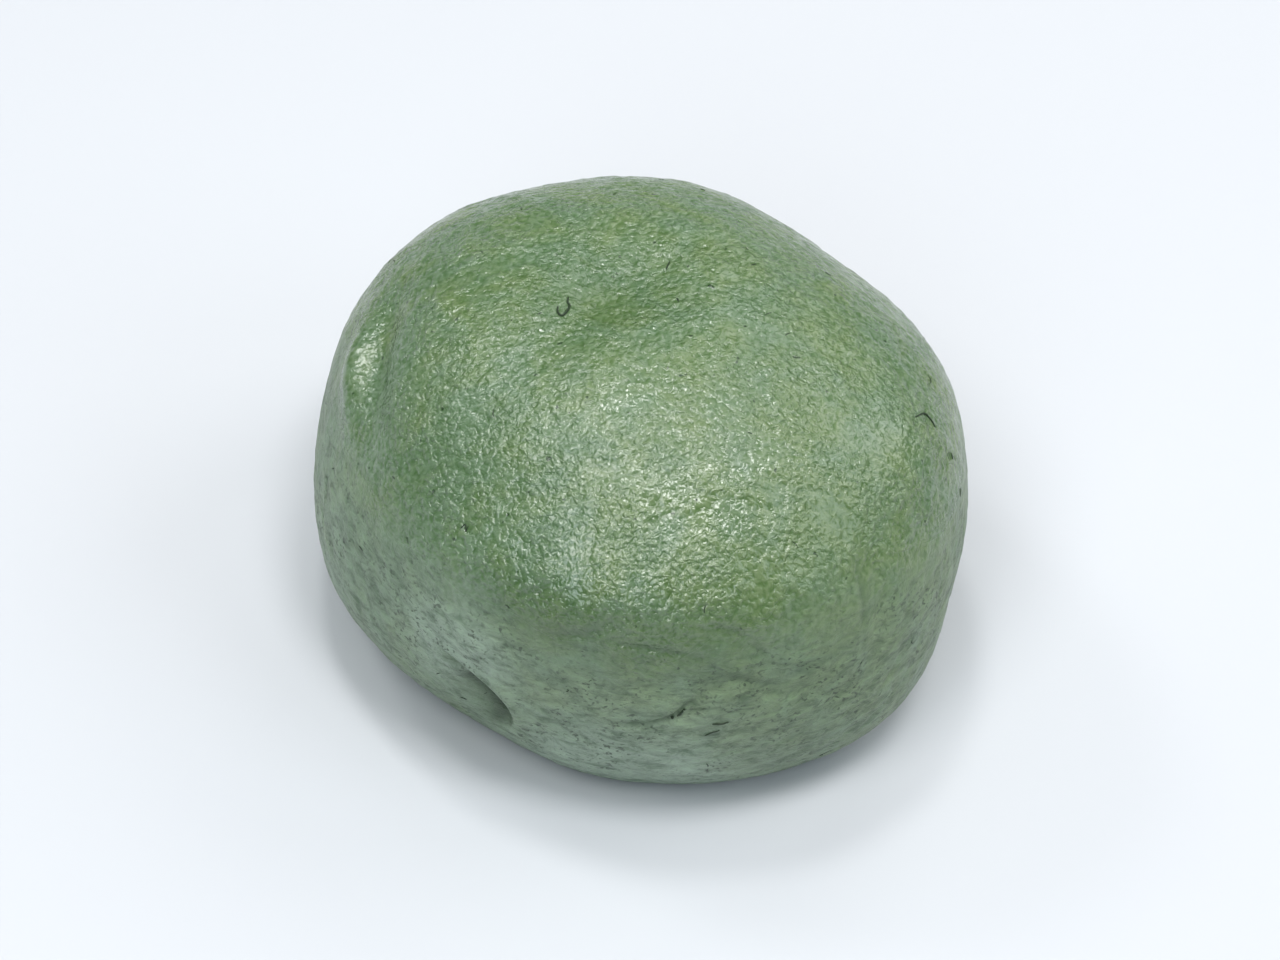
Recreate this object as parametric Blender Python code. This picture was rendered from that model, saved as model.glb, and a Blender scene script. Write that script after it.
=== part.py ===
"""Mugwort dango: one ball of steamed rice dough, rolled between the palms and set down while soft.

The ball is a full, squat oval that has sagged onto a flat base. On it are the marks of the hand: a
broad hollow on top, soft shoulders at the front and right, lumps and pressed facets round the sides, a
small roll on the left, shallow folds across the front, and a pinched pocket low at the front left.

Frame: origin at the middle of the flat base, +Z up, -Y the front, +X to the right. Units are metres.
Every mark is placed by its azimuth (0 is +X, 90 is the back) and elevation, in degrees, as seen from the
ball's heart, and is sized in millimetres along the dough's surface.
"""

import bmesh
import bpy
import numpy as np

MM = 0.001

# Driving dimensions of the ball.
LENGTH = 63.6 * MM  # long axis of the oval plan
BREADTH = 58.6 * MM  # short axis of the oval plan
LONG_AXIS_AZIMUTH = -44.0  # the oval's long axis points to the front right
WIDEST_HEIGHT = 14.5 * MM  # height of the widest level, and of the heart, above the base
HEART_TO_RIGHT = 0.3 * MM  # the heart stands this far right of the middle of the ball's breadth
DOME_HEIGHT = 23.6 * MM  # height of the dome above the widest level, before it is marked
FULLNESS = 2.25  # exponent of the upright section: 2 is an ellipse, more is squarer

# The mesh.
CELLS = 27  # cells along each edge of the cube that is blown up into the ball
FOLDED_FRONT = (-90, 8, 22, 9)  # azimuth, elevation, and half-sizes in millimetres, of the finer cells
SNAP = 0.25 * MM  # points this near the base plane are drawn onto it

# Broad marks: azimuth, elevation, half-length, half-width, turn of the length from the level, in degrees,
# and how far the mark rises; a mark that sinks is negative.
SWELLS = {
    "back_left_shoulder": (140, 26, 14, 9, 0, 0.7),
    "back_flat": (114, 31, 7, 8, 0, -0.4),
    "back_lobe": (80, 34, 7, 7, 0, 0.5),
    "upper_right_press": (42, 34, 12, 8, 0, -0.9),
    "right_cheek": (20, 17, 9, 8, 0, 0.5),
    "front_right_foot": (-42, -17, 10, 8, 0, 1.1),
    "right_press": (-15, -9, 8, 7, 0, -0.6),
    "left_cheek": (-160, -9, 14, 8, 0, 1.15),
    "front_left_press": (-126, -25, 9, 7, 0, -0.7),
    "front_shoulder": (-102, 25, 19, 4.8, 3, 1.2),
    "right_shoulder": (-14, 32, 12, 6, -8, 0.8),
    "left_roll": (177.5, 23.5, 5, 1.9, -18, 1.0),
    "pinched_brow": (-125, 7, 5, 3.2, 0, 0.5),
}

# Shallow folds pressed into the dough: half-width, depth, and the azimuth and elevation of each bend.
FOLDS = {
    "left_groove": (1.8, 0.95, ((161, 32), (179, 29), (-168, 25.5))),
    "front_valley": (2.6, 0.45, ((150, 76), (-170, 71), (-157, 62), (-150, 54))),
    "back_furrow": (1.6, 0.25, ((115, 77), (90, 74), (69, 68), (48, 66))),
    "right_valley": (1.3, 0.35, ((-47, 25), (-49, 12), (-52, 1))),
    "arc_fold": (0.8, 0.25, ((-81, 20), (-75, 19), (-71, 15), (-70, 9))),
    "long_fold": (0.8, 0.25, ((-98, 8), (-88, 10), (-77, 10), (-66, 6), (-56, 1))),
    "low_fold": (0.7, 0.3, ((-94, 0), (-88, 1), (-84, 4), (-80, 6))),
    "left_fold": (0.8, 0.3, ((-130, 4), (-125, 2), (-120, 3))),
}

NAVEL = {"azimuth": 135, "elevation": 77, "depth": 1.9, "radius": 7.0}
POCKET = {"azimuth": -117.0, "elevation": -4.5, "turn": 34, "half_length": 3.0, "bow": 3.6}
POCKET_FLOOR = {"depth": 2.5, "reach": 3.0, "slit_depth": 2.6, "slit_width": 1.1, "lip_softness": 0.11, "rim": 0.35}


def unit(azimuth, elevation):
    """The direction from the ball's heart at this azimuth and elevation."""
    a, e = np.radians(azimuth), np.radians(elevation)
    return np.array([np.cos(e) * np.cos(a), np.cos(e) * np.sin(a), np.sin(e)])


def plain_radius(directions):
    """Distance from the heart to the unmarked ball along each direction."""
    turn = np.radians(LONG_AXIS_AZIMUTH)
    x, y, z = directions.T
    along = (x * np.cos(turn) + y * np.sin(turn)) / (LENGTH / 2)
    across = (y * np.cos(turn) - x * np.sin(turn)) / (BREADTH / 2)
    level = np.hypot(along, across)
    upright = np.abs(z) / DOME_HEIGHT
    return (level**FULLNESS + upright**FULLNESS) ** (-1 / FULLNESS)


def surface_map(directions, azimuth, elevation):
    """Millimetres along the surface from the place at azimuth, elevation: to its right, and up."""
    centre = unit(azimuth, elevation)
    right = unit(azimuth + 90, 0)
    up = np.cross(centre, right)
    radius = plain_radius(centre[None])[0] / MM
    away = np.arccos(np.clip(directions @ centre, -1, 1))
    bearing = np.arctan2(directions @ up, directions @ right)
    return radius * away * np.cos(bearing), radius * away * np.sin(bearing)


def swell(directions, azimuth, elevation, half_length, half_width, turn, rise):
    """A smooth oval lump or hollow, in millimetres."""
    right, up = surface_map(directions, azimuth, elevation)
    t = np.radians(turn)
    along = right * np.cos(t) + up * np.sin(t)
    across = up * np.cos(t) - right * np.sin(t)
    return rise * np.exp(-((along / half_length) ** 2) - (across / half_width) ** 2)


def fold(directions, half_width, depth, bends):
    """A furrow along the line through the bends, deepest midway and fading to both ends, in millimetres."""
    middle = np.mean([unit(*bend) for bend in bends], axis=0)
    azimuth = np.degrees(np.arctan2(middle[1], middle[0]))
    elevation = np.degrees(np.arctan2(middle[2], np.hypot(middle[0], middle[1])))
    here = np.stack(surface_map(directions, azimuth, elevation), axis=-1)
    corners = np.stack(surface_map(np.array([unit(*bend) for bend in bends]), azimuth, elevation), axis=-1)
    nearest = np.full(len(directions), np.inf)
    progress = np.zeros(len(directions))
    for i in range(len(corners) - 1):
        start, run = corners[i], corners[i + 1] - corners[i]
        part = np.clip((here - start) @ run / (run @ run), 0, 1)
        away = np.linalg.norm(here - start - part[:, None] * run, axis=-1)
        progress = np.where(away < nearest, (i + part) / (len(corners) - 1), progress)
        nearest = np.minimum(away, nearest)
    strength = np.sin(np.pi * np.clip(0.12 + 0.76 * progress, 0, 1))
    return -depth * strength * np.exp(-((nearest / half_width) ** 2))


def navel(directions):
    """The broad hollow on top, in millimetres."""
    right, up = surface_map(directions, NAVEL["azimuth"], NAVEL["elevation"])
    return -NAVEL["depth"] * np.exp(-((np.hypot(right, up) / NAVEL["radius"]) ** 2))


def pocket(directions):
    """The pinched pocket: a steep, bowed lip, a slit under it, and a floor that climbs out to the left."""
    right, up = surface_map(directions, POCKET["azimuth"], POCKET["elevation"])
    t = np.radians(POCKET["turn"])
    along = up * np.cos(t) - right * np.sin(t)
    inward = -(right * np.cos(t) + up * np.sin(t)) - along**2 / (2 * POCKET["bow"])
    fade = np.exp(-((along / POCKET["half_length"]) ** 4))
    wall = (1 + np.tanh(inward / (2 * POCKET_FLOOR["lip_softness"]))) / 2
    beyond = np.maximum(inward, 0)
    floor = POCKET_FLOOR["depth"] * np.exp(-((beyond / POCKET_FLOOR["reach"]) ** 1.5))
    slit = POCKET_FLOOR["slit_depth"] * np.exp(-((beyond / POCKET_FLOOR["slit_width"]) ** 2))
    rim = POCKET_FLOOR["rim"] * np.exp(-(((inward + 0.9) / 0.8) ** 2))
    return fade * (rim - wall * (floor + slit))


def marked_radius(directions):
    """Distance from the heart to the dough's surface, with every mark on it."""
    rise = navel(directions) + pocket(directions)
    for mark in SWELLS.values():
        rise = rise + swell(directions, *mark)
    for mark in FOLDS.values():
        rise = rise + fold(directions, *mark)
    return plain_radius(directions) + rise * MM


def even_cube_point(co):
    """A point of the cube's face, moved so that the cells come out alike when blown up into a ball."""
    spread = np.tan(np.array(co) * np.pi / 4)
    return spread / np.linalg.norm(spread)


def split_where(ball, wanted):
    """Splits every cell whose middle is wanted into four."""
    middles = np.array([f.calc_center_median().normalized() for f in ball.faces])
    edges = {e for f, chosen in zip(ball.faces, wanted(middles)) if chosen for e in f.edges}
    bmesh.ops.subdivide_edges(ball, edges=list(edges), cuts=1, use_grid_fill=True)


def in_folded_front(directions):
    azimuth, elevation, half_length, half_height = FOLDED_FRONT
    right, up = surface_map(directions, azimuth, elevation)
    return (np.abs(right) < half_length) & (np.abs(up) < half_height)


def in_pocket(directions):
    right, up = surface_map(directions, POCKET["azimuth"], POCKET["elevation"])
    return np.hypot(right, up) < 1.4 * POCKET["half_length"]


def at_the_lip(directions):
    right, up = surface_map(directions, POCKET["azimuth"], POCKET["elevation"])
    return np.hypot(right + 0.2, up) < 1.1 * POCKET["half_length"]


def ball_of_cells():
    """A unit ball made from a subdivided cube, with smaller cells along the folds and in the pocket."""
    ball = bmesh.new()
    bmesh.ops.create_cube(ball, size=2)
    bmesh.ops.subdivide_edges(ball, edges=ball.edges[:], cuts=CELLS - 1, use_grid_fill=True)
    for vertex in ball.verts:
        vertex.co = even_cube_point(vertex.co)
    split_where(ball, in_folded_front)
    split_where(ball, in_pocket)
    split_where(ball, at_the_lip)
    bmesh.ops.triangulate(ball, faces=ball.faces[:])
    return ball


def sag_onto_base(ball):
    """Cuts the ball off flat where it rests, with one face for the base."""
    for vertex in ball.verts:
        if abs(vertex.co.z) < SNAP:
            vertex.co.z = 0
    everything = ball.verts[:] + ball.edges[:] + ball.faces[:]
    base = {"plane_co": (0, 0, 0), "plane_no": (0, 0, -1)}
    bmesh.ops.bisect_plane(ball, geom=everything, dist=1e-6, clear_outer=True, **base)
    rim = [e for e in ball.edges if e.is_boundary]
    bmesh.ops.holes_fill(ball, edges=rim, sides=len(rim))
    bmesh.ops.recalc_face_normals(ball, faces=ball.faces[:])


def dough_material():
    material = bpy.data.materials.new("mugwort_dough")
    material.use_nodes = True
    shader = material.node_tree.nodes["Principled BSDF"]
    shader.inputs["Base Color"].default_value = (0.17, 0.26, 0.13, 1)
    shader.inputs["Roughness"].default_value = 0.42
    shader.inputs["Metallic"].default_value = 0.0
    return material


def dango():
    ball = ball_of_cells()
    directions = np.array([v.co.normalized() for v in ball.verts])
    places = directions * marked_radius(directions)[:, None]
    for vertex, place in zip(ball.verts, places):
        vertex.co = place + np.array([HEART_TO_RIGHT, 0, WIDEST_HEIGHT])
    sag_onto_base(ball)
    mesh = bpy.data.meshes.new("dango")
    ball.to_mesh(mesh)
    ball.free()
    mesh.shade_smooth()
    mesh.set_sharp_from_angle(angle=np.radians(50))
    mesh.materials.append(dough_material())
    made = bpy.data.objects.new("dango", mesh)
    bpy.context.scene.collection.objects.link(made)
    return made


def clear_scene():
    for thing in list(bpy.data.objects):
        bpy.data.objects.remove(thing)


def main():
    clear_scene()
    dango()


main()
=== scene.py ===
"""Mugwort dango: one ball of steamed rice dough, green with mugwort, moist, and set down while soft.

The skin repeats the solid's form and adds its fine relief: the goose bumps and wrinkles of the dough,
which break the light up into small glints, and the drier creases of the lower front. Fibres of mugwort
lie in the skin. Lengths are in metres, and in millimetres in the tables of marks, creases and fibres and
where a name or comment says so. Angles are in degrees.
"""

import bpy
import numpy as np
from mathutils import Matrix, Vector, noise
from mathutils.kdtree import KDTree

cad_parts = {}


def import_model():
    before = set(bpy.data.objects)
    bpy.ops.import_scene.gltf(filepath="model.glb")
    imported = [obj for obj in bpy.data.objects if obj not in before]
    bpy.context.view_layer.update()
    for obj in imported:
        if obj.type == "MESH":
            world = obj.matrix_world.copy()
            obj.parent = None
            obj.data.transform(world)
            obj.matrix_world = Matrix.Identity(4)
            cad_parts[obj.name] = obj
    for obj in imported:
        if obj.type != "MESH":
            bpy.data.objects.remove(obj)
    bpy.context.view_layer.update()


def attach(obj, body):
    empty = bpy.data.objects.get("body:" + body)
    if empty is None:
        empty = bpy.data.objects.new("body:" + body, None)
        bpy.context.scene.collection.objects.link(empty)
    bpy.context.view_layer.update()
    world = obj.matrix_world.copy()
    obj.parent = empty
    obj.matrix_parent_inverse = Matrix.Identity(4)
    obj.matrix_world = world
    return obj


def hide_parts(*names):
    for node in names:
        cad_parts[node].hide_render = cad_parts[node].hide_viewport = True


MM = 0.001

# The ball, as in the solid.
LENGTH = 63.6 * MM  # long axis of the oval plan
BREADTH = 58.6 * MM  # short axis of the oval plan
LONG_AXIS_AZIMUTH = -44.0  # the oval's long axis points to the front right
WIDEST_HEIGHT = 14.5 * MM  # height of the widest level, and of the heart, above the base
HEART_TO_RIGHT = 0.3 * MM  # the heart stands this far right of the middle of the ball's breadth
DOME_HEIGHT = 23.6 * MM  # height of the dome above the widest level, before it is marked
FULLNESS = 2.25  # exponent of the upright section: 2 is an ellipse, more is squarer

# Broad marks: azimuth, elevation, half-length, half-width, turn of the length from the level, and how far
# the mark rises; a mark that sinks is negative.
SWELLS = {
    "back_left_shoulder": (140, 26, 14, 9, 0, 0.7),
    "back_flat": (114, 31, 7, 8, 0, -0.4),
    "back_lobe": (80, 34, 7, 7, 0, 0.5),
    "upper_right_press": (42, 34, 12, 8, 0, -0.9),
    "right_cheek": (20, 17, 9, 8, 0, 0.5),
    "front_right_foot": (-42, -17, 10, 8, 0, 1.1),
    "right_press": (-15, -9, 8, 7, 0, -0.6),
    "left_cheek": (-160, -9, 14, 8, 0, 1.15),
    "front_left_press": (-126, -25, 9, 7, 0, -0.7),
    "front_shoulder": (-102, 25, 19, 4.8, 3, 1.2),
    "right_shoulder": (-14, 32, 12, 6, -8, 0.8),
    "left_roll": (177.5, 23.5, 5, 1.9, -18, 1.0),
    "pinched_brow": (-125, 7, 5, 3.2, 0, 0.5),
}

# Shallow folds pressed into the dough: half-width, depth, and the azimuth and elevation of each bend.
FOLDS = {
    "left_groove": (1.8, 0.95, ((161, 32), (179, 29), (-168, 25.5))),
    "front_valley": (2.6, 0.45, ((150, 76), (-170, 71), (-157, 62), (-150, 54))),
    "back_furrow": (1.6, 0.25, ((115, 77), (90, 74), (69, 68), (48, 66))),
    "right_valley": (1.3, 0.35, ((-47, 25), (-49, 12), (-52, 1))),
    "arc_fold": (0.8, 0.25, ((-81, 20), (-75, 19), (-71, 15), (-70, 9))),
    "long_fold": (0.8, 0.25, ((-98, 8), (-88, 10), (-77, 10), (-66, 6), (-56, 1))),
    "low_fold": (0.7, 0.3, ((-94, 0), (-88, 1), (-84, 4), (-80, 6))),
    "left_fold": (0.8, 0.3, ((-130, 4), (-125, 2), (-120, 3))),
}

NAVEL = {"azimuth": 135, "elevation": 77, "depth": 1.9, "radius": 7.0}
POCKET = {"azimuth": -117.0, "elevation": -4.5, "turn": 34, "half_length": 3.0, "bow": 3.6}
POCKET_FLOOR = {
    "depth": 2.5,
    "reach": 3.0,
    "slit_depth": 2.6,
    "slit_width": 1.1,
    "lip_softness": 0.11,
    "rim": 0.35,
}

# How far the pocket's painted shade reaches along its lip, over its floor, and over the slit.
POCKET_SHADE_PAINT = {"half_length": 3.6, "floor": 4.4, "slit": 2.8}

# Fine creases of the skin: half-width, depth, and the azimuth and elevation of each bend.
# A ridge has a negative depth.
CREASES = {
    "lip_tail": (0.45, 0.30, ((-131, 1.4), (-127, 0.3), (-123.5, -0.8))),
    "waist_crease": (0.35, 0.28, ((-99, 18.4), (-94, 17.9), (-88, 17.4), (-83, 16.3))),
    "shaded_crease": (0.60, 0.30, ((-111, 16.2), (-104, 18.4), (-99, 22))),
    "brow_crease": (0.35, 0.28, ((-81.5, 22.5), (-77, 21), (-74.5, 19.8))),
    "crack": (0.28, 0.38, ((-94, 0.2), (-90, 0.6), (-87, 2.5), (-84.5, 6), (-82, 8))),
    "foot_crease": (0.40, 0.25, ((-82.5, 13), (-77.5, 11.5), (-71.5, 9), (-68, 8))),
    "right_crease": (0.40, 0.25, ((-51, 25), (-51.5, 20), (-52, 14))),
    "slant_crease": (0.40, 0.20, ((-74, 19), (-71, 14))),
    "left_dash": (0.30, 0.20, ((-117, 22.4), (-112.5, 24.2))),
    "right_ridge": (0.25, -0.20, ((-27.5, 25.5), (-31.5, 22))),
}

# Single fibres of mugwort on the skin: radius, and the azimuth and elevation of each bend.
FIBRES = {
    "curl_by_the_hollow": (
        0.125,
        ((167, 68.4), (171, 68.5), (174, 69), (179, 68.7), (183, 67.5), (180, 66.7), (176, 66.7)),
    ),
    "curl_on_the_right": (
        0.10,
        ((-17, 35), (-15, 34), (-14, 33.2), (-14, 32.3), (-14.3, 31), (-14.7, 30.2)),
    ),
    "dash_on_the_right": (0.07, ((-14.8, 23.9), (-15.5, 23))),
    "end_in_the_crack": (0.12, ((-86, 2.6), (-85.5, 3.3), (-84.9, 4.6))),
    "dot_in_the_crack": (0.12, ((-86.9, 1.9), (-86.6, 2.3))),
    "flake_below_the_crack": (0.10, ((-80, 1.1), (-78.6, 1), (-77.3, 1.4))),
    "low_dash": (0.08, ((-81, -1.9), (-79.9, -1.2), (-78.6, -0.8))),
    "crossed_on_the_left": (0.07, ((-133.7, 26.8), (-133.2, 27.9), (-132.4, 26.9), (-132.5, 28))),
    "dash_behind_the_hollow": (0.08, ((82, 72.3), (83, 73.9), (84, 75))),
    "dash_in_the_hollow": (0.08, ((51, 84.3), (38, 84.9))),
}
STRAY_FIBRES = 90  # spread all round; those low on the sides are left out
STRAY_RADIUS = (0.03, 0.065)
STRAY_LENGTH = (0.25, 1.1)  # before the power of 1.5 that makes most of them short
MEAN_RADIUS = 31  # of the ball, by which a stray fibre's length becomes an angle

# Where the dough is painted a deeper green, partly for dough that stayed wet and partly as painted shade
# in the hollow on top and under the front shoulder: azimuth, elevation, how far it reaches, and how much.
WET_AND_SHADED_PLACES = {
    "hollow": (135, 77, 13, 0.8),
    "below_hollow": (-170, 70, 10, 0.5),
    "band_left": (-118, 20, 7, 0.9),
    "band_middle": (-106, 20, 7, 0.8),
    "band": (-93, 17.5, 7, 0.7),
    "band_right": (-81, 17.5, 7, 0.7),
    "crease_right": (-62, 8, 8, 0.3),
    "left": (-150, 28, 12, 0.35),
}

# Where a pale film of starch has dried on, partly painted light bounced up from below onto the lower
# front, written alike.
DRY_AND_BOUNCE_PLACES = ((-127, 4, 10, 1.2), (-94, -24, 19, 1.4), (-160, -5, 22, 0.25))

# Other places: azimuth, elevation, and how far they reach.
WARM_PLACE = (-60, 26, 30)  # yellower green
COOL_PLACE = (-152, 20, 30)  # bluer green
SLEEK_PLACE = (178, 24, 8)  # the roll, where the stretched skin is smooth and shines
MATTE_PLACE = (-55, 20, 19)  # duller than the rest of the top
LOWER_SLOPE = (6, 26)  # elevations between which the dry, creased sides turn into the moist top

# Colours of the dough.
BLUE_GREEN = (0.131, 0.208, 0.114)
YELLOW_GREEN = (0.146, 0.216, 0.094)
# Pale film of the lower sides: partly dried starch, partly painted bounce light.
DRY_AND_BOUNCE_GREEN = (0.272, 0.362, 0.266)
# Tint of the wet places, partly painted shade.
WET_AND_SHADE_TINT = (0.70, 0.78, 0.66)
# Dark flecks, and also the painted shade in the pocket's slit.
FLECK_AND_SLIT_SHADE_GREEN = (0.015, 0.040, 0.012)
FIBRE_GREEN = (0.014, 0.034, 0.010)
# Painted shade in the creases and on the pocket's floor.
CREASE_SHADE_GREEN = (0.074, 0.130, 0.060)

# Ramps over noise: patches of colour, the painted shade between the bumps of the top and painted light on
# them, and the streaks of the sides.
PATCHES = ((0.36, BLUE_GREEN), (0.64, YELLOW_GREEN))
BUMP_SHADE = ((0.33, (0.64, 0.76, 0.56)), (0.62, (1.17, 1.13, 1.18)))
STREAK_SHADE = ((0.34, (0.42, 0.52, 0.42)), (0.5, (0.98, 0.98, 0.98)), (0.64, (1.22, 1.24, 1.22)))

# Fine relief of the skin, as many small strokes: how many, half-length, half-width and height in
# millimetres, and how far they stray from the flow, in radians.
BUMPS = (9000, 0.75, 0.34, 0.06, 0.45)
PITS = (6000, 0.6, 0.32, -0.05, 0.7)
WRINKLES = (1500, 1.9, 0.3, -0.12, 0.25)

# The skin's mesh: a cube blown up into the ball, with its points drawn towards the front and top.
CELLS = 127
DRAWN_TO = (-85, 50)
DRAW = 0.27
ROLL = 0.25 * MM  # softness of the edge where the ball sags onto its base

# The skin was drawn in level rings round the front, and in a whorl on the upper left.
RINGS_POLE = (-92, 30)
WHORL_POLE = (-150, 55)
WHORL_MIDDLE = (-170, 55)
WHORL_REACH = 32

SEED = 5


def unit(azimuth, elevation):
    """The direction from the ball's heart at this azimuth and elevation."""
    a, e = np.radians(azimuth), np.radians(elevation)
    return np.array([np.cos(e) * np.cos(a), np.cos(e) * np.sin(a), np.sin(e)])


def plain_radius(directions):
    """Distance from the heart to the unmarked ball along each direction."""
    turn = np.radians(LONG_AXIS_AZIMUTH)
    x, y, z = directions.T
    along = (x * np.cos(turn) + y * np.sin(turn)) / (LENGTH / 2)
    across = (y * np.cos(turn) - x * np.sin(turn)) / (BREADTH / 2)
    level = np.hypot(along, across)
    upright = np.abs(z) / DOME_HEIGHT
    return (level**FULLNESS + upright**FULLNESS) ** (-1 / FULLNESS)


def surface_map(directions, azimuth, elevation):
    """Millimetres along the surface from the place at azimuth, elevation: to its right, and up."""
    centre = unit(azimuth, elevation)
    right = unit(azimuth + 90, 0)
    up = np.cross(centre, right)
    radius = plain_radius(centre[None])[0] / MM
    away = np.arccos(np.clip(directions @ centre, -1, 1))
    bearing = np.arctan2(directions @ up, directions @ right)
    return radius * away * np.cos(bearing), radius * away * np.sin(bearing)


def swell(directions, azimuth, elevation, half_length, half_width, turn, rise):
    """A smooth oval lump or hollow, in millimetres."""
    right, up = surface_map(directions, azimuth, elevation)
    t = np.radians(turn)
    along = right * np.cos(t) + up * np.sin(t)
    across = up * np.cos(t) - right * np.sin(t)
    return rise * np.exp(-((along / half_length) ** 2) - (across / half_width) ** 2)


def fold(directions, half_width, depth, bends):
    """A furrow along the line through the bends, deepest midway and fading to both ends, in millimetres."""
    middle = np.mean([unit(*bend) for bend in bends], axis=0)
    azimuth = np.degrees(np.arctan2(middle[1], middle[0]))
    elevation = np.degrees(np.arctan2(middle[2], np.hypot(middle[0], middle[1])))
    here = np.stack(surface_map(directions, azimuth, elevation), axis=-1)
    corners = np.stack(surface_map(np.array([unit(*bend) for bend in bends]), azimuth, elevation), axis=-1)
    nearest = np.full(len(directions), np.inf)
    progress = np.zeros(len(directions))
    for i in range(len(corners) - 1):
        start, run = corners[i], corners[i + 1] - corners[i]
        part = np.clip((here - start) @ run / (run @ run), 0, 1)
        away = np.linalg.norm(here - start - part[:, None] * run, axis=-1)
        progress = np.where(away < nearest, (i + part) / (len(corners) - 1), progress)
        nearest = np.minimum(away, nearest)
    strength = np.sin(np.pi * np.clip(0.12 + 0.76 * progress, 0, 1))
    return -depth * strength * np.exp(-((nearest / half_width) ** 2))


def navel(directions):
    """The broad hollow on top, in millimetres."""
    right, up = surface_map(directions, NAVEL["azimuth"], NAVEL["elevation"])
    return -NAVEL["depth"] * np.exp(-((np.hypot(right, up) / NAVEL["radius"]) ** 2))


def pocket_map(directions):
    """Millimetres along the pocket's bowed lip, and past the lip into the pocket."""
    right, up = surface_map(directions, POCKET["azimuth"], POCKET["elevation"])
    t = np.radians(POCKET["turn"])
    along = up * np.cos(t) - right * np.sin(t)
    inward = -(right * np.cos(t) + up * np.sin(t)) - along**2 / (2 * POCKET["bow"])
    return along, inward


def pocket(directions):
    """The pinched pocket: a steep, bowed lip, a slit under it, and a floor that climbs out to the left."""
    along, inward = pocket_map(directions)
    fade = np.exp(-((along / POCKET["half_length"]) ** 4))
    wall = (1 + np.tanh(inward / (2 * POCKET_FLOOR["lip_softness"]))) / 2
    beyond = np.maximum(inward, 0)
    floor = POCKET_FLOOR["depth"] * np.exp(-((beyond / POCKET_FLOOR["reach"]) ** 1.5))
    slit = POCKET_FLOOR["slit_depth"] * np.exp(-((beyond / POCKET_FLOOR["slit_width"]) ** 2))
    rim = POCKET_FLOOR["rim"] * np.exp(-(((inward + 0.9) / 0.8) ** 2))
    return fade * (rim - wall * (floor + slit))


def marked_radius(directions):
    """Distance from the heart to the dough's surface, with every mark of the solid on it."""
    rise = navel(directions) + pocket(directions)
    for mark in SWELLS.values():
        rise = rise + swell(directions, *mark)
    for mark in FOLDS.values():
        rise = rise + fold(directions, *mark)
    return plain_radius(directions) + rise * MM


def near(directions, azimuth, elevation, degrees):
    """1 at the place, falling smoothly to 0 about this many degrees away."""
    away = np.degrees(np.arccos(np.clip(directions @ unit(azimuth, elevation), -1, 1)))
    return np.exp(-((away / degrees) ** 2))


def slope_up(x, low, high):
    """0 below low, 1 above high, smooth between."""
    t = np.clip((x - low) / (high - low), 0, 1)
    return t * t * (3 - 2 * t)


# ---------------------------------------------------------------- the skin's mesh


def cube_sphere(cells):
    """Unit directions and quads of a cube blown up into a ball, with even cells and shared edges."""
    steps = np.tan((np.arange(cells + 1) / cells * 2 - 1) * np.pi / 4)
    u, v = np.meshgrid(steps, steps, indexing="ij")
    one = np.ones_like(u)
    sides = [(one, u, v), (-one, v, u), (v, one, u), (u, -one, v), (u, v, one), (v, u, -one)]
    points = np.concatenate([np.stack(s, -1).reshape(-1, 3) for s in sides])
    corner = np.arange((cells + 1) ** 2).reshape(cells + 1, cells + 1)
    quad = np.stack([corner[:-1, :-1], corner[1:, :-1], corner[1:, 1:], corner[:-1, 1:]], -1).reshape(-1, 4)
    quads = np.concatenate([quad + i * corner.size for i in range(6)])
    whole = np.round(points * 1e6).astype(np.int64)
    _, first, place = np.unique(whole, axis=0, return_index=True, return_inverse=True)
    points = points[first]
    return points / np.linalg.norm(points, axis=1)[:, None], place.reshape(-1)[quads]


def draw_points(directions):
    """Moves the points towards the front and top, and towards the pocket, where the cells become finer."""
    moved = directions + DRAW * unit(*DRAWN_TO)
    moved = moved / np.linalg.norm(moved, axis=1)[:, None]
    pinched = unit(POCKET["azimuth"], POCKET["elevation"])
    pull = 0.45 * near(moved, POCKET["azimuth"], POCKET["elevation"], 9)[:, None]
    moved = moved + pull * (pinched - moved)
    return moved / np.linalg.norm(moved, axis=1)[:, None]


def onto_base(points):
    """Everything that would hang below the base lies flat on it, with a soft roll at the edge."""
    z = points[:, 2]
    points[:, 2] = 0.5 * (z + np.sqrt(z * z + ROLL * ROLL)) - 0.02 * MM
    points[:, 2] = np.maximum(points[:, 2], 0)
    return points


def surface_points(directions, rise=0.0):
    """Points of the dough's surface, raised by so many millimetres."""
    away = marked_radius(directions) + rise * MM
    points = directions * away[:, None] + np.array([HEART_TO_RIGHT, 0, WIDEST_HEIGHT])
    return onto_base(points)


# ---------------------------------------------------------------- fine relief


def whorl_share(directions):
    """1 in the middle of the whorl, 0 where the skin was drawn in level rings."""
    return near(directions, *WHORL_MIDDLE, WHORL_REACH)


def flow(directions):
    """The way the dough's skin was drawn, as unit vectors along it."""
    front = np.cross(unit(*RINGS_POLE), directions)
    whorl = np.cross(unit(*WHORL_POLE), directions)
    weight = whorl_share(directions)[:, None]
    sign = np.sign(np.sum(front * whorl, axis=1, keepdims=True))
    way = front * (1 - weight) + sign * whorl * weight
    return way / np.maximum(np.linalg.norm(way, axis=1, keepdims=True), 1e-6)


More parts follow.
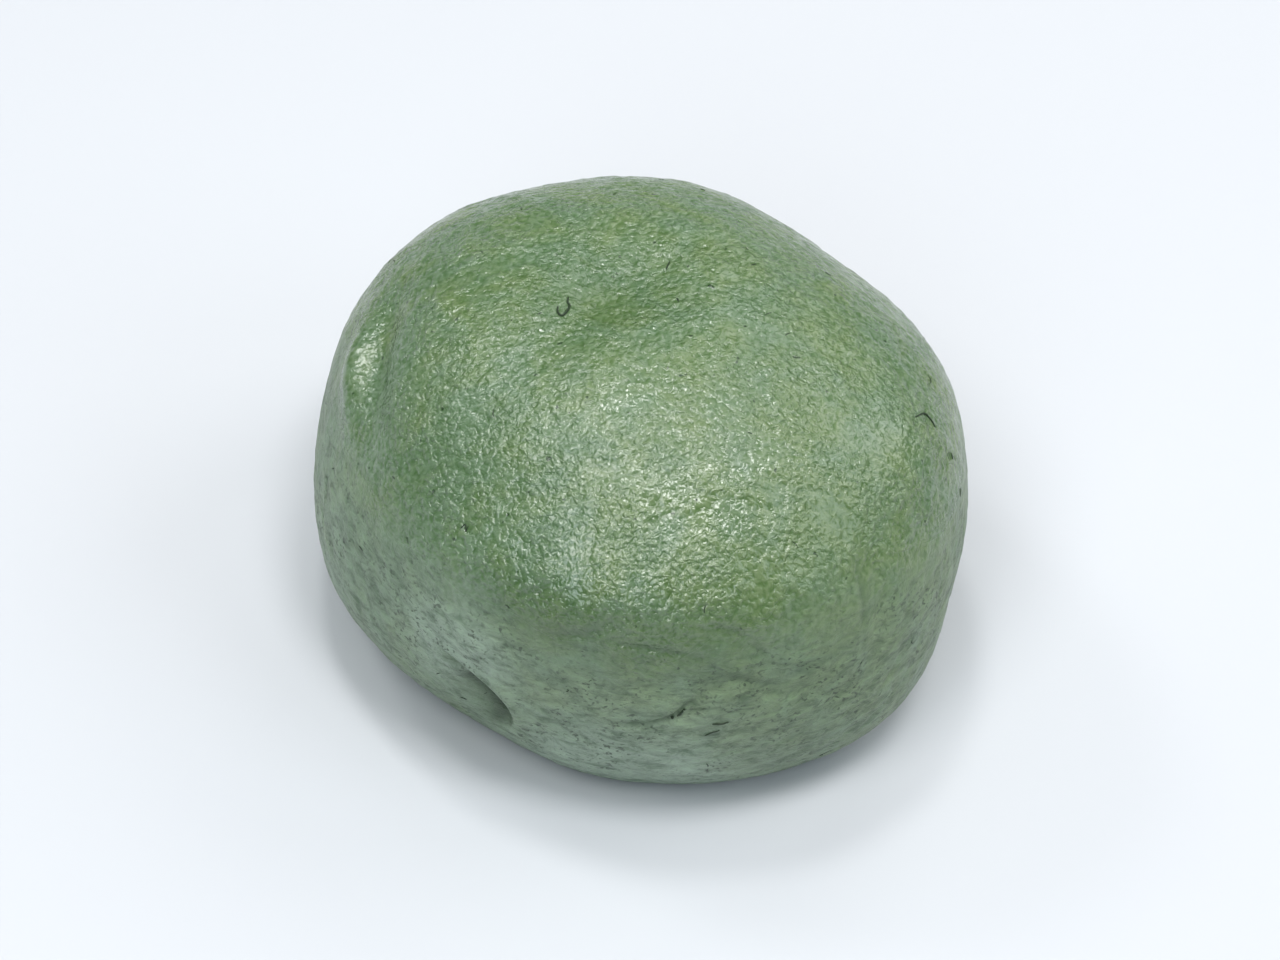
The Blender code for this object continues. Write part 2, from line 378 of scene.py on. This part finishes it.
class NearbyPoints:
    """Finds the points of a cloud in the cells around a place."""

    def __init__(self, points, size):
        self.size = size
        cell = np.floor(points / size).astype(int)
        order = np.lexsort(cell.T)
        cell = cell[order]
        starts = np.flatnonzero(np.any(np.diff(cell, axis=0), axis=1)) + 1
        groups = np.split(order, starts)
        keys = cell[np.concatenate([[0], starts])]
        self.cells = {tuple(key): group for key, group in zip(keys, groups)}

    def around(self, place):
        x, y, z = np.floor(place / self.size).astype(int)
        found = []
        for i in (x - 1, x, x + 1):
            for j in (y - 1, y, y + 1):
                for k in (z - 1, z, z + 1):
                    if (i, j, k) in self.cells:
                        found.append(self.cells[(i, j, k)])
        return np.concatenate(found) if found else np.zeros(0, int)


def spread_directions(count, rng):
    """Evenly spread directions, each jogged a little, in a fixed order."""
    i = np.arange(count)
    z = 1 - (2 * i + 1) / count
    turn = i * np.pi * (3 - np.sqrt(5))
    level = np.sqrt(1 - z * z)
    d = np.stack([level * np.cos(turn), level * np.sin(turn), z], -1)
    d = d + rng.normal(0, 1.1 / np.sqrt(count), d.shape)
    return d / np.linalg.norm(d, axis=1)[:, None]


def stroke_relief(base, cloud, count, half_length, half_width, height, wander, rng):
    """Sum of many small raised or sunk strokes that follow the flow, in millimetres."""
    rise = np.zeros(len(base))
    ways = spread_directions(count, rng)
    for way, place, tangent in zip(ways, surface_points(ways), flow(ways)):
        if place[2] < 0.3 * MM:
            continue
        tilt = rng.normal(0, wander)
        tangent = tangent - way * (tangent @ way)
        tangent = tangent / np.linalg.norm(tangent)
        side = np.cross(way, tangent)
        along = tangent * np.cos(tilt) + side * np.sin(tilt)
        across = side * np.cos(tilt) - tangent * np.sin(tilt)
        long_half = half_length * rng.uniform(0.6, 1.5)
        wide_half = half_width * rng.uniform(0.7, 1.4)
        tall = height * rng.uniform(0.35, 1.3)
        bend = rng.normal(0, 0.12)
        found = cloud.around(place)
        apart = (base[found] - place) / MM
        a = apart @ along
        b = apart @ across + bend * a * a
        rise[found] += tall * np.exp(-((a / long_half) ** 2) - (b / wide_half) ** 2)
    return rise


def soft_noise(points, size_mm, seed):
    """Smooth noise between about -1 and 1, with features about this size, in millimetres."""
    offset = Vector((seed * 13.7, seed * 7.1, seed * 3.3))
    scale = 1 / (size_mm * MM)
    return np.array([noise.noise(Vector(p) * scale + offset) for p in points])


def lower_share(directions, base):
    """1 on the lower sides, where the skin is drier and more creased, 0 on the moist top."""
    elevation = np.degrees(np.arcsin(np.clip(directions[:, 2], -1, 1)))
    return 1 - slope_up(elevation + 4 * soft_noise(base, 6, 3), *LOWER_SLOPE)


def dry_and_bounce_share(directions, base):
    """1 on the pale lower sides, partly a dried starch film, partly painted bounce light, 0 elsewhere."""
    patches = sum(much * near(directions, *place) for *place, much in DRY_AND_BOUNCE_PLACES)
    streaks = soft_noise(base * [1, 1, 2.2], 5, 6)
    return np.clip(1.1 * patches + 0.2 * lower_share(directions, base) + 0.4 * streaks * patches, 0, 1)


def wet_and_shade_share(directions, base):
    """1 where the dough is painted deep green, partly wet dough, partly painted shade, and 0 elsewhere."""
    # The foot is painted darker: a painted contact shadow along the floor.
    share = 0.9 * np.exp(-((base[:, 2] / (1.3 * MM)) ** 2))
    for azimuth, elevation, reach, much in WET_AND_SHADED_PLACES.values():
        share += much * near(directions, azimuth, elevation, reach)
    return np.clip(share, 0, 1)


def pocket_shade(directions):
    """Painted shade in the pocket: its floor near the lip, and the slit right under the lip."""
    along, inward = pocket_map(directions)
    beyond = np.maximum(inward, 0)
    along = along / POCKET_SHADE_PAINT["half_length"]
    floor = np.exp(-(along**4) - (beyond / POCKET_SHADE_PAINT["floor"]) ** 3)
    slit = np.exp(-(along**8) - (beyond / POCKET_SHADE_PAINT["slit"]) ** 8)
    return floor * (inward > -0.1), slit * (inward > -0.1)


def skin_relief(directions):
    """Height of the dough's fine relief, in millimetres."""
    rng = np.random.default_rng(SEED)
    base = surface_points(directions)
    cloud = NearbyPoints(base, 2.0 * MM)

    broad = 0.16 * soft_noise(base, 9, 1) + 0.08 * soft_noise(base, 4, 2)
    broad = broad + 0.045 * soft_noise(base, 2.2, 7)

    lower = lower_share(directions, base)
    bumps = stroke_relief(base, cloud, *BUMPS, rng)
    pits = stroke_relief(base, cloud, *PITS, rng)
    grain = 0.012 * soft_noise(base, 0.8, 4)
    wrinkles = stroke_relief(base, cloud, *WRINKLES, rng)
    fine = (bumps + pits) * (1 - 0.45 * lower) + wrinkles * (0.15 + 0.85 * lower) + grain
    return broad + fine


def make_mesh(name, points, faces):
    """A mesh object of these points and faces, in the scene."""
    mesh = bpy.data.meshes.new(name)
    mesh.from_pydata([tuple(p) for p in points], [], [tuple(int(i) for i in f) for f in faces])
    mesh.validate()
    made = bpy.data.objects.new(name, mesh)
    bpy.context.scene.collection.objects.link(made)
    return made


def add_attribute(mesh, name, values):
    """A number for each point of the mesh, which the material reads by its name."""
    made = mesh.attributes.new(name, "FLOAT", "POINT")
    made.data.foreach_set("value", values.astype(np.float32))


def crease_relief(directions):
    """Depth of the named creases, in millimetres."""
    rise = np.zeros(len(directions))
    for half_width, depth, bends in CREASES.values():
        rise += fold(directions, half_width, depth, bends)
    return rise


def skin():
    """The dough's skin, the directions of its points from the heart, and its relief in millimetres."""
    directions, quads = cube_sphere(CELLS)
    directions = draw_points(directions)
    creases = crease_relief(directions)
    relief = skin_relief(directions) + creases
    plain = surface_points(directions)
    points = surface_points(directions, relief)
    flat = plain[:, 2] < 0.15 * MM
    points[flat] = plain[flat]
    made = make_mesh("dough_skin", points, quads)
    made.data.shade_smooth()
    add_attribute(made.data, "lower", lower_share(directions, plain))
    # Pale film, partly painted bounce light.
    add_attribute(made.data, "dry_and_bounce", dry_and_bounce_share(directions, plain))
    # Painted shade in the creases.
    add_attribute(made.data, "crease_shade", np.clip(-creases / 0.3, 0, 1))
    floor_shade, slit_shade = pocket_shade(directions)
    # Painted shade on the pocket's floor and in its slit.
    add_attribute(made.data, "pocket", floor_shade)
    add_attribute(made.data, "slit", slit_shade)
    add_attribute(made.data, "warm", near(directions, *WARM_PLACE) - near(directions, *COOL_PLACE))
    add_attribute(made.data, "sleek", near(directions, *SLEEK_PLACE))
    add_attribute(made.data, "matte", near(directions, *MATTE_PLACE))
    # Deeper green of the wet places and the foot, partly painted shade.
    add_attribute(made.data, "wet_and_shade", wet_and_shade_share(directions, plain))
    return made, directions, relief


# ---------------------------------------------------------------- fibres


def tube(centres, outward, radius, sides=6):
    """Points and faces of a thin rounded tube along the centres, closed at both ends."""
    points, faces = [], []
    for i, centre in enumerate(centres):
        way = centres[min(i + 1, len(centres) - 1)] - centres[max(i - 1, 0)]
        way = way / np.linalg.norm(way)
        side = np.cross(way, outward[i])
        side = side / np.linalg.norm(side)
        over = np.cross(side, way)
        taper = radius * np.sin(np.pi * (0.12 + 0.76 * i / (len(centres) - 1))) ** 0.6
        for k in range(sides):
            turn = 2 * np.pi * k / sides
            points.append(centre + taper * (side * np.cos(turn) + over * np.sin(turn)))
    for i in range(len(centres) - 1):
        for k in range(sides):
            a, b = i * sides + k, i * sides + (k + 1) % sides
            faces.append((a, b, b + sides, a + sides))
    faces.append(tuple(range(sides - 1, -1, -1)))
    faces.append(tuple(range(len(points) - sides, len(points))))
    return points, faces


def smooth_line(corners, steps=4):
    """Points of a smooth curve through the corners."""
    padded = np.concatenate([[2 * corners[0] - corners[1]], corners, [2 * corners[-1] - corners[-2]]])
    line = []
    for i in range(1, len(padded) - 2):
        a, b, c, d = padded[i - 1 : i + 3]
        for t in np.arange(steps) / steps:
            bend = (2 * a - 5 * b + 4 * c - d) * t**2 + (3 * b - a - 3 * c + d) * t**3
            line.append(0.5 * (2 * b + (c - a) * t + bend))
    line.append(padded[-2])
    return np.array(line)


def stray_fibre(way, rng):
    """Bends of a short curled fibre about this direction."""
    side = np.cross(way, rng.normal(0, 1, 3))
    side = side / np.linalg.norm(side)
    over = np.cross(way, side)
    length = rng.uniform(*STRAY_LENGTH) ** 1.5 / MEAN_RADIUS
    curl = rng.normal(0, 0.6)
    t = np.linspace(-0.5, 0.5, 4)[:, None]
    bends = way + length * (side * t + over * curl * t * t)
    return bends / np.linalg.norm(bends, axis=1)[:, None]


def fibres(directions, relief):
    """Shreds of mugwort lying in the skin."""
    rng = np.random.default_rng(SEED + 1)
    lines = [(radius, np.array([unit(*bend) for bend in bends])) for radius, bends in FIBRES.values()]
    for way in spread_directions(STRAY_FIBRES, rng):
        if way[2] > -0.3:
            lines.append((rng.uniform(*STRAY_RADIUS), stray_fibre(way, rng)))
    nearest = KDTree(len(directions))
    for i, way in enumerate(directions):
        nearest.insert(way, i)
    nearest.balance()
    points, faces = [], []
    for radius, bends in lines:
        ways = smooth_line(bends)
        ways = ways / np.linalg.norm(ways, axis=1)[:, None]
        rise = np.array([relief[nearest.find(way)[1]] for way in ways])
        line = surface_points(ways, rise + 0.3 * radius)
        more_points, more_faces = tube(line, ways, radius * MM)
        faces += [tuple(len(points) + i for i in face) for face in more_faces]
        points += more_points
    made = make_mesh("mugwort_fibres", points, faces)
    made.data.shade_smooth()
    return made


# ---------------------------------------------------------------- materials


def node(tree, kind, **settings):
    made = tree.nodes.new(kind)
    for key, value in settings.items():
        setattr(made, key, value)
    return made


def ramp(tree, source, stops):
    """A colour for each value of the source, smooth between the stops."""
    made = tree.nodes.new("ShaderNodeValToRGB")
    made.color_ramp.elements[0].position = stops[0][0]
    made.color_ramp.elements[0].color = (*stops[0][1], 1)
    made.color_ramp.elements[1].position = stops[-1][0]
    made.color_ramp.elements[1].color = (*stops[-1][1], 1)
    for position, colour in stops[1:-1]:
        element = made.color_ramp.elements.new(position)
        element.color = (*colour, 1)
    tree.links.new(source, made.inputs["Fac"])
    return made.outputs["Color"]


def noise_texture(tree, size_mm, detail=3.0, roughness=0.55, distortion=0.0):
    """Noise between 0 and 1 whose features are about this size."""
    where = node(tree, "ShaderNodeTexCoord")
    made = node(tree, "ShaderNodeTexNoise")
    made.inputs["Scale"].default_value = 1 / (size_mm * MM)
    made.inputs["Detail"].default_value = detail
    made.inputs["Roughness"].default_value = roughness
    made.inputs["Distortion"].default_value = distortion
    tree.links.new(where.outputs["Object"], made.inputs["Vector"])
    return made.outputs["Fac"]


def blend(tree, amount, first, second, mode="MIX"):
    """The first colour, turned into the second, or multiplied by it, by the amount."""
    made = node(tree, "ShaderNodeMix", data_type="RGBA", blend_type=mode)
    for value, socket in ((amount, made.inputs[0]), (first, made.inputs[6]), (second, made.inputs[7])):
        if isinstance(value, (int, float)):
            socket.default_value = value
        elif isinstance(value, tuple):
            socket.default_value = (*value, 1)
        else:
            tree.links.new(value, socket)
    return made.outputs[2]


def math(tree, operation, *values, clamp=False):
    made = node(tree, "ShaderNodeMath", operation=operation, use_clamp=clamp)
    for value, socket in zip(values, made.inputs):
        if isinstance(value, (int, float)):
            socket.default_value = value
        else:
            tree.links.new(value, socket)
    return made.outputs[0]


def attribute(tree, name):
    return node(tree, "ShaderNodeAttribute", attribute_name=name).outputs["Fac"]


def level_noise(tree, along_mm, up_mm, detail):
    """Noise drawn out level, round the sides of the ball."""
    where = node(tree, "ShaderNodeMapping")
    where.inputs["Scale"].default_value = (1 / (along_mm * MM), 1 / (along_mm * MM), 1 / (up_mm * MM))
    tree.links.new(node(tree, "ShaderNodeTexCoord").outputs["Object"], where.inputs["Vector"])
    made = node(tree, "ShaderNodeTexNoise")
    made.inputs["Scale"].default_value = 1.0
    made.inputs["Detail"].default_value = detail
    made.inputs["Roughness"].default_value = 0.7
    made.inputs["Distortion"].default_value = 0.5
    tree.links.new(where.outputs["Vector"], made.inputs["Vector"])
    return made.outputs["Fac"]


def above(tree, value, level, full):
    """0 up to the level, rising to 1 at full."""
    raised = math(tree, "SUBTRACT", value, level)
    return math(tree, "DIVIDE", raised, full - level, clamp=True)


def fibre_material():
    material = bpy.data.materials.new("mugwort_fibre")
    material.use_nodes = True
    shader = material.node_tree.nodes["Principled BSDF"]
    shader.inputs["Base Color"].default_value = (*FIBRE_GREEN, 1)
    shader.inputs["Roughness"].default_value = 0.45
    return material


def scaled(tree, amount, factor, start=0.0):
    """The amount times the factor, on top of the start."""
    return math(tree, "MULTIPLY_ADD", amount, factor, start)


def dough_colour(tree, bumps, streaks, dots):
    """The dough's green, with everything that tints it."""
    lower = attribute(tree, "lower")
    moist = math(tree, "SUBTRACT", 1.0, lower)

    # Patches of bluer and yellower green, under a dry pale film that is partly painted bounce light.
    tone = scaled(tree, attribute(tree, "warm"), 0.12, noise_texture(tree, 5, 3, 0.6, 0.5))
    colour = ramp(tree, tone, PATCHES)
    colour = blend(tree, attribute(tree, "dry_and_bounce"), colour, DRY_AND_BOUNCE_GREEN)

    # The moist top has painted shade between its bumps and painted light on them; the dry sides are
    # streaked;
    # the wet places are deeper green, partly as painted shade.
    colour = blend(tree, moist, colour, ramp(tree, bumps, BUMP_SHADE), "MULTIPLY")
    colour = blend(tree, lower, colour, ramp(tree, streaks, STREAK_SHADE), "MULTIPLY")
    colour = blend(tree, attribute(tree, "wet_and_shade"), colour, WET_AND_SHADE_TINT, "MULTIPLY")

    # Dark dots and a few larger flecks, then painted shade in the creases, the pocket and its slit.
    flecks = scaled(tree, above(tree, noise_texture(tree, 0.9, 1.0), 0.745, 0.775), 0.8)
    colour = blend(tree, math(tree, "MAXIMUM", dots, flecks), colour, FLECK_AND_SLIT_SHADE_GREEN)
    creased = scaled(tree, attribute(tree, "crease_shade"), 0.6)
    creased = math(tree, "MAXIMUM", creased, scaled(tree, attribute(tree, "pocket"), 0.9))
    colour = blend(tree, creased, colour, CREASE_SHADE_GREEN)
    return blend(tree, scaled(tree, attribute(tree, "slit"), 0.75), colour, FLECK_AND_SLIT_SHADE_GREEN)


def dark_dots(tree):
    """Small dark dots in clusters, nearly all of them on the dry sides."""
    clusters = scaled(tree, above(tree, noise_texture(tree, 3.5, 2), 0.42, 0.6), 0.75, 0.25)
    dots = above(tree, level_noise(tree, 0.55, 0.4, 1.0), 0.57, 0.67)
    here = scaled(tree, attribute(tree, "lower"), 0.72, 0.08)
    return math(tree, "MULTIPLY", dots, math(tree, "MULTIPLY", clusters, here))


def dough_height(tree, bumps, streaks, dots):
    """Height of the finest bumps and streaks, in millimetres."""
    lower = attribute(tree, "lower")
    moist = math(tree, "SUBTRACT", 1.0, lower)
    calm = scaled(tree, above(tree, noise_texture(tree, 4.5, 2.5, 0.6), 0.36, 0.6), 0.75, 0.42)
    calm = math(tree, "MULTIPLY", calm, scaled(tree, attribute(tree, "sleek"), -0.55, 1.0))
    calm = math(tree, "MULTIPLY", calm, scaled(tree, attribute(tree, "matte"), -0.35, 1.0))
    height = math(tree, "MULTIPLY", bumps, math(tree, "MULTIPLY", calm, scaled(tree, moist, 0.28, 0.06)))
    height = scaled(tree, streaks, scaled(tree, lower, 0.5), height)
    return scaled(tree, dots, -0.05, height)


def dough_material():
    material = bpy.data.materials.new("mugwort_dough")
    material.use_nodes = True
    tree = material.node_tree
    shader = tree.nodes["Principled BSDF"]
    bumps = noise_texture(tree, 0.52, 1.5, 0.5, 0.35)
    streaks = level_noise(tree, 2.2, 1.1, 5.0)
    dots = dark_dots(tree)
    tree.links.new(dough_colour(tree, bumps, streaks, dots), shader.inputs["Base Color"])

    roughness = scaled(tree, attribute(tree, "lower"), 0.24, 0.18)
    roughness = scaled(tree, attribute(tree, "matte"), 0.14, roughness)
    tree.links.new(roughness, shader.inputs["Roughness"])

    bump = node(tree, "ShaderNodeBump")
    bump.inputs["Strength"].default_value = 1.0
    bump.inputs["Distance"].default_value = 1.0 * MM
    tree.links.new(dough_height(tree, bumps, streaks, dots), bump.inputs["Height"])
    tree.links.new(bump.outputs["Normal"], shader.inputs["Normal"])

    shader.inputs["IOR"].default_value = 1.5
    shader.inputs["Specular IOR Level"].default_value = 0.8
    shader.inputs["Subsurface Weight"].default_value = 0.15
    shader.inputs["Subsurface Radius"].default_value = (0.8, 1.0, 0.5)
    shader.inputs["Subsurface Scale"].default_value = 1.0 * MM
    return material


# ---------------------------------------------------------------- stage, light and camera

# Camera: place in metres, and its lens in millimetres on a frame 36 wide.
CAMERA_PLACE = (-0.03273, -0.29349, 0.33764)
CAMERA_FORWARD = (0.0748, 0.66993, -0.73864)
CAMERA_UP = (-0.02997, 0.7419, 0.66985)
LENS = 130
SENSOR_WIDTH = 36

FLOOR_COLOUR = (0.66, 0.68, 0.71)
FLOOR_REACH = 3  # metres each way
SKY_COLOUR = (0.86, 0.93, 1.0)
SKY_STRENGTH = 0.04

# Round soft lamps, all as far from the ball: azimuth, elevation, diameter in metres, watts and colour.
LAMP_DISTANCE = 0.8
WHITE = (1.0, 1.0, 1.0)
COOL = (0.84, 0.93, 1.0)
LAMPS = {
    "overhead": (-45, 78, 0.24, 2.05, WHITE),
    "overhead_left": (-135, 78, 0.24, 0.36, WHITE),
    "front_left": (-135, 60, 0.30, 1.53, WHITE),
    "back_left": (135, 60, 0.30, 0.20, WHITE),
    "right": (0, 60, 0.30, 0.44, WHITE),
    "back": (90, 60, 0.30, 0.25, WHITE),
    "left": (180, 60, 0.30, 0.15, COOL),
    "low_front": (-113, 38, 0.42, 1.45, COOL),
    "low_right": (22, 38, 0.42, 1.24, WHITE),
    "low_front_right": (-23, 38, 0.42, 1.00, COOL),
    "low_back": (67, 38, 0.42, 0.75, WHITE),
    "low_left": (157, 38, 0.42, 0.35, COOL),
    "core": (118, 74, 0.12, 1.1, WHITE),
    "spark": (143, 46, 0.17, 0.72, WHITE),
}


def look_along(place, forward, up):
    """Matrix of a camera or lamp at the place, looking forward."""
    back = -Vector(forward).normalized()
    right = Vector(up).cross(back).normalized()
    head = back.cross(right)
    turn = Matrix((right, head, back)).transposed()
    return Matrix.Translation(place) @ turn.to_4x4()


def camera():
    data = bpy.data.cameras.new("camera")
    data.sensor_width = SENSOR_WIDTH
    data.lens = LENS
    data.clip_start = 0.01
    made = bpy.data.objects.new("camera", data)
    bpy.context.scene.collection.objects.link(made)
    made.matrix_world = look_along(CAMERA_PLACE, CAMERA_FORWARD, CAMERA_UP)
    bpy.context.scene.camera = made


def floor():
    r = FLOOR_REACH
    made = make_mesh("floor", [(-r, -r, 0), (r, -r, 0), (r, r, 0), (-r, r, 0)], [(0, 1, 2, 3)])
    material = bpy.data.materials.new("floor")
    material.use_nodes = True
    shader = material.node_tree.nodes["Principled BSDF"]
    shader.inputs["Base Color"].default_value = (*FLOOR_COLOUR, 1)
    shader.inputs["Roughness"].default_value = 0.5
    made.data.materials.append(material)


def light():
    for name, (azimuth, elevation, diameter, power, colour) in LAMPS.items():
        data = bpy.data.lights.new(name, "AREA")
        data.shape = "DISK"
        data.size = diameter
        data.energy = power
        data.color = colour
        made = bpy.data.objects.new(name, data)
        bpy.context.scene.collection.objects.link(made)
        away = unit(azimuth, elevation)
        made.matrix_world = look_along(away * LAMP_DISTANCE, -away, (0, 1, 0.001))
    world = bpy.data.worlds.new("world")
    world.use_nodes = True
    sky = world.node_tree.nodes["Background"]
    sky.inputs["Color"].default_value = (*SKY_COLOUR, 1)
    sky.inputs["Strength"].default_value = SKY_STRENGTH
    bpy.context.scene.world = world


def main():
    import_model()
    dough, directions, relief = skin()
    dough.data.materials.append(dough_material())
    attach(dough, "root")
    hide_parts("dango")
    shreds = fibres(directions, relief)
    shreds.data.materials.append(fibre_material())
    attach(shreds, "root")
    floor()
    light()
    camera()
    bpy.context.scene.view_settings.view_transform = "Standard"


main()
